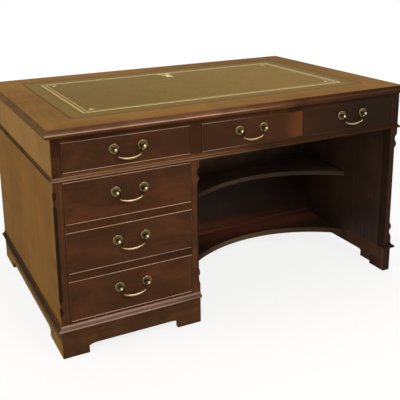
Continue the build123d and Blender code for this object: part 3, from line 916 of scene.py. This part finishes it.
# An orange painted sheen for the left leaf beside the seam.
FLAME_SHEEN = colour(122, 68, 34)
side_thickness = 12 * MM
figure_bend = 0.16
drawer_seam = 0.235
dark_from_seam = (400 * MM, 100 * MM)
sheen_from_seam = 90 * MM
drawer_shifts = {
    "lower": (1.7, 0.3, 2.0),
    "middle": (4.1, 2.3, 0.4),
    "upper": (0.4, 5.2, 1.1),
    "frieze": (7.3, 1.9, 3.1),
    "wide": (2.2, 8.1, 0.7),
}


def box_grain(low, high):
    """Grain along y in the drawer's sides and along x in its back, which lies between low and
    high."""

    def lay(place):
        x, y, z = place.split()
        return (x.above(low) * x.below(high)).choose(joined(y, x, z), place)

    return lay


def flame_veneer(name, shift, seam=None):
    """Veneer cut where the tree forks. Two leaves opened like a book meet at a seam, if given:
    the left one is dark at first and has a painted orange sheen beside the seam, and the right
    one is painted dark as painted shade."""
    material, place = new_finish(name)
    x, y, z = place.split()
    leaf = place if seam is None else joined(abs(x - seam), y, z)
    swirl = noise(leaf, (3.2, 3.2, 5.5), 3, 0.55, twist=1.2, shift=shift)
    patch_shift = (shift[1], shift[0], 4)
    patch = noise(leaf, (5, 5, 9), 2, 0.5, twist=0.8, shift=patch_shift).ramp(0.48, 0.74)
    wide, inward, up = leaf.split()
    grain = joined(wide, inward, up + swirl * figure_bend)
    drift, ribbon, streak, pore = wood_pattern(grain, shift)
    tone = (swirl.ramp(0.36, 0.62) * 0.6 + streak * 0.2).mix(FLAME, FLAME_DEEP)
    tone = (patch * (1 - streak * 0.4) * 0.4).mix(tone, FLAME_GLOW)
    if seam is not None:
        right_leaf = x.above(seam)
        dark_part = 1 - x.ramp(*[seam - reach for reach in dark_from_seam])
        sheen_part = (1 - right_leaf) * x.ramp(seam - sheen_from_seam, seam)
        tone = (dark_part * 0.65).mix(tone, FLAME_DEEP)
        tone = (sheen_part * 0.8).mix(tone, FLAME_SHEEN)
        # Painted shade on the right leaf.
        tone = (right_leaf * 0.5).mix(tone, FLAME_DEEP)
    tone = (pore * 0.4).mix(tone, FLAME_DEEP)
    # Painted shade towards the front's right end.
    tone = (shade(place) * 0.8).mix(tone, SHADED)
    sheen = streak * 0.06 + pore * 0.1 + polished
    return polish(material, place, tone, sheen, streak * 0.3 - pore, specular=0.045)


# The cockbeads carry a painted highlight where they look up.
bead_covers = ((bead_glint, BEAD_HIGHLIGHT, glossy),)
bead_wood = mahogany("mahogany_cockbead", "x", MOULDING, bead_covers, specular=0.08)
for name, shift in drawer_shifts.items():
    box_low, box_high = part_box(f"{name}_drawer_box")
    grain = box_grain(box_low.x + side_thickness, box_high.x - side_thickness)
    seam = drawer_seam if name == "wide" else None
    finish_with(oak(f"oak_{name}_box", grain, shift), f"{name}_drawer_box")
    finish_with(oak(f"oak_{name}_bottom", "x", shift), f"{name}_drawer_bottom")
    finish_with(flame_veneer(f"veneer_{name}", shift, seam), f"{name}_drawer_front")
    finish_with(bead_wood, f"{name}_drawer_cockbead")

# The handles: cast brass, chemically darkened, dark in the rosettes' dishes and round the
# posts' necks. Painted shade darkens the lower half of each rosette's rim and a painted
# highlight brightens the front of each ball; the bail's arms are dark. Each post is held by a
# nut inside the drawer.
# The brightest tone is a painted highlight for the balls' fronts.
BRASS_HIGHLIGHT = colour(228, 210, 166)
BRASS = colour(174, 153, 114)
BRASS_AGED = colour(140, 120, 80)
BRASS_DULL = colour(84, 72, 44)
BRASS_DARK = colour(40, 34, 22)
post_offset = 49 * MM
plate_front = (4.5 * MM, 6 * MM)
dish_rim = (11 * MM, 13.5 * MM)
neck_rim = (5 * MM, 8 * MM)
ball_back = (8 * MM, 10 * MM)
ball_rim = (7.6 * MM, 8 * MM)
highlight_rim = (2 * MM, 5.5 * MM)
highlight_front = (17.5 * MM, 20.5 * MM)
arm_foot = (-25 * MM, -20 * MM)
rim_shade_turn = (-0.35, 0.25)


def antique_brass(name, centre_x, centre_z, face_y):
    """Brass dark in the hollows round each post, with painted shade and painted highlights."""
    material, place = new_finish(name)
    x, y, z = place.split()
    from_post = abs(x - centre_x) - post_offset
    over_post = z - centre_z
    squares = from_post * from_post + over_post * over_post
    radius = squares.math("SQRT", squares)
    out = face_y - y
    stain = noise(place, (160, 160, 160), 4, 0.6).ramp(0.35, 0.75)
    on_plate = 1 - out.ramp(*plate_front)
    dish = (1 - radius.ramp(*dish_rim)) * on_plate
    neck = (1 - radius.ramp(*neck_rim)) * (1 - out.ramp(*ball_back))
    ball = (1 - radius.ramp(*ball_rim)) * out.ramp(*ball_back)
    # A painted highlight on each ball's front.
    ball_highlight = (1 - radius.ramp(*highlight_rim)) * out.ramp(*highlight_front)
    arms = over_post.ramp(*arm_foot) * (1 - on_plate) * (1 - ball)
    # Painted shade on the lower half of each rosette.
    rim_shade = (1 - facing(place)[2].ramp(*rim_shade_turn)) * on_plate
    tone = (stain * 0.5).mix(BRASS, BRASS_AGED)
    tone = (on_plate * 0.75).mix(tone, BRASS_AGED)
    tone = (rim_shade * 0.8).mix(tone, BRASS_DARK)
    tone = (ball * (1 - ball_highlight)).mix(tone, BRASS_DULL)
    tone = ball_highlight.mix(tone, BRASS_HIGHLIGHT)
    tone = dish.mix(tone, BRASS_DULL)
    tone = neck.larger(arms).mix(tone, BRASS_DARK)
    sheen = stain * 0.12 + arms * 0.2 + 0.28
    return polish(
        material, place, tone, sheen, stain, specular=0.5, depth=0.1, strength=0.2, metal=1.0
    )


for name in ("lower", "middle", "upper", "frieze", "wide_left", "wide_right"):
    posts_low, posts_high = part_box(f"{name}_handle_posts")
    middle_x = (posts_low.x + posts_high.x) / 2
    middle_z = (posts_low.z + posts_high.z) / 2
    brass = antique_brass(f"brass_{name}", middle_x, middle_z, front_face)
    finish_with(brass, f"{name}_handle_posts", f"{name}_handle_bail")
